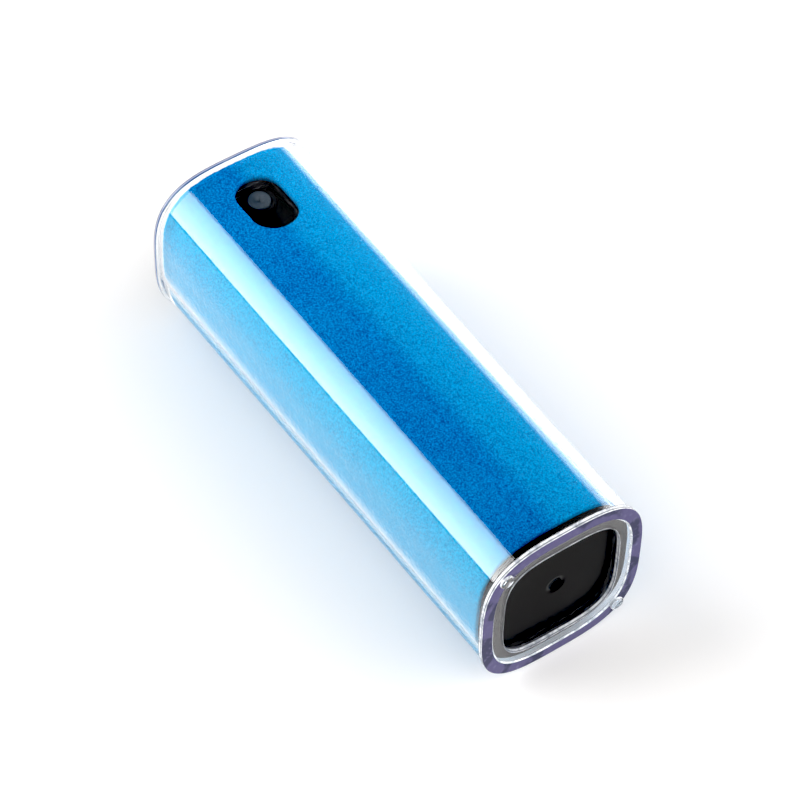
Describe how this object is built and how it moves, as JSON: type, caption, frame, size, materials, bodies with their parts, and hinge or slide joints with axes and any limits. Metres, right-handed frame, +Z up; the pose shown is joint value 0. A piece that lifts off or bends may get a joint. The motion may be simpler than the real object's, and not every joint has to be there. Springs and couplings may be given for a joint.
{
  "type": "lens cleaning spray",
  "caption": "Pocket lens and screen mist sprayer, a pump bottle in a rounded-square body wrapped in blue microfibre cloth, in a clear slip cover.",
  "frame": {"origin": "centre of the bounding box's base, on the surface that the cover's lip lies on, under the middle of the cover", "axes": "+X along the object towards its base and the cover's end ring, the press button at -X; +Z up, the way the nozzle and its window face"},
  "size_m": [0.1006, 0.0338, 0.0337],
  "materials": {
    "clear_plastic": "clear polished polystyrene, faint violet where seen edge-on",
    "blue_microfiber": "short-pile microfibre cloth, bright cyan blue",
    "black_plastic": "satin black moulded plastic",
    "nozzle_plastic": "dark grey acetal",
    "natural_plastic": "natural white polypropylene",
    "bottle_plastic": "translucent natural polyethylene",
    "gasket_foam": "soft white sealing disc",
    "spring_steel": "bright drawn stainless wire"
  },
  "bodies": {
    "cover": {"clear_cover": "clear_plastic"},
    "sprayer": {"microfiber_sleeve": "blue_microfiber", "body_housing": "black_plastic", "base_cap": "black_plastic", "top_collar": "black_plastic", "bottle_bracket": "black_plastic", "bottle": "bottle_plastic", "neck_gasket": "gasket_foam", "pump_closure": "natural_plastic", "pump_housing": "natural_plastic", "stem_retainer": "natural_plastic", "dip_tube": "bottle_plastic", "pump_spring": "spring_steel"},
    "plunger": {"press_button": "black_plastic", "actuator_head": "black_plastic", "nozzle_insert": "nozzle_plastic", "pump_stem": "natural_plastic", "pump_piston": "natural_plastic"},
    "inlet_valve": {"inlet_ball": "spring_steel"}
  },
  "joints": [
    {"name": "cover_slide", "type": "slide", "parent": "cover", "child": "sprayer", "axis": [-1, 0, 0], "range_m": [0, 0.1]},
    {"name": "button_press", "type": "slide", "parent": "sprayer", "child": "plunger", "axis": [1, 0, 0], "range_m": [0, 0.0045], "stiffness_N_per_m": 900, "springref_m": -0.0035, "deforming": ["pump_spring"]},
    {"name": "ball_lift", "type": "slide", "parent": "sprayer", "child": "inlet_valve", "axis": [-1, 0, 0], "range_m": [0, 0.0006]}
  ]
}
